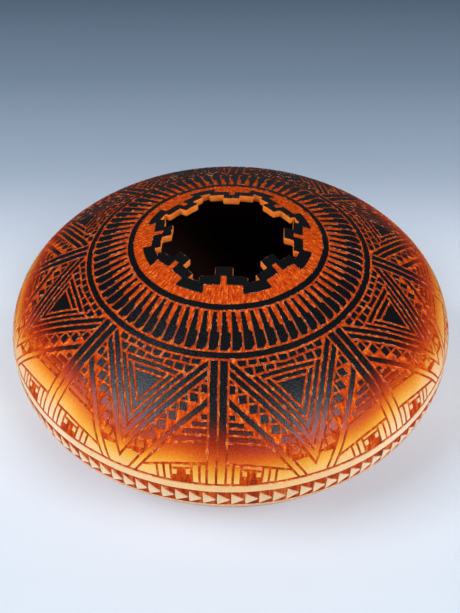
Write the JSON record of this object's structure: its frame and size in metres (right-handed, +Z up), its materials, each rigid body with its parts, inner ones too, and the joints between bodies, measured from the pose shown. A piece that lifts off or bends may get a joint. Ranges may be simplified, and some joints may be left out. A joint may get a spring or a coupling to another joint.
{
  "type": "engraved pottery vase",
  "caption": "Wide, low clay vase with a rounded shoulder, a flat foot and a mouth cut in steps, coated in slip that is carved away to bare clay in bands and panels.",
  "frame": {"origin": "middle of the flat underside of the foot, on the surface the vase stands on", "axes": "+Z up along the axis of the vase; -Y towards the front of the picture, +X to its right"},
  "size_m": [0.2032, 0.2032, 0.0962],
  "materials": {
    "clay": "matte, carved and smoothed bare clay, orange",
    "black_slip": "satin black slip",
    "faded_slip": "satin slip, sprayed from black through red-brown and orange to gold",
    "cream_slip": "satin cream slip"
  },
  "bodies": {
    "root": {"bowl": "clay", "shoulder": "clay", "mouth_step_border": "black_slip", "inner_ring_band": "black_slip", "feather_band": "black_slip", "outer_ring_band": "black_slip", "panel_divider_1": "faded_slip", "shoulder_panel_1": "faded_slip", "panel_divider_2": "faded_slip", "shoulder_panel_2": "faded_slip", "panel_divider_3": "faded_slip", "shoulder_panel_3": "faded_slip", "panel_divider_4": "faded_slip", "shoulder_panel_4": "faded_slip", "panel_divider_5": "faded_slip", "shoulder_panel_5": "faded_slip", "panel_divider_6": "faded_slip", "shoulder_panel_6": "faded_slip", "panel_divider_7": "faded_slip", "shoulder_panel_7": "faded_slip", "panel_divider_8": "faded_slip", "shoulder_panel_8": "faded_slip", "rim_band": "cream_slip", "triangle_band": "cream_slip", "lower_line": "cream_slip"}
  },
  "joints": []
}
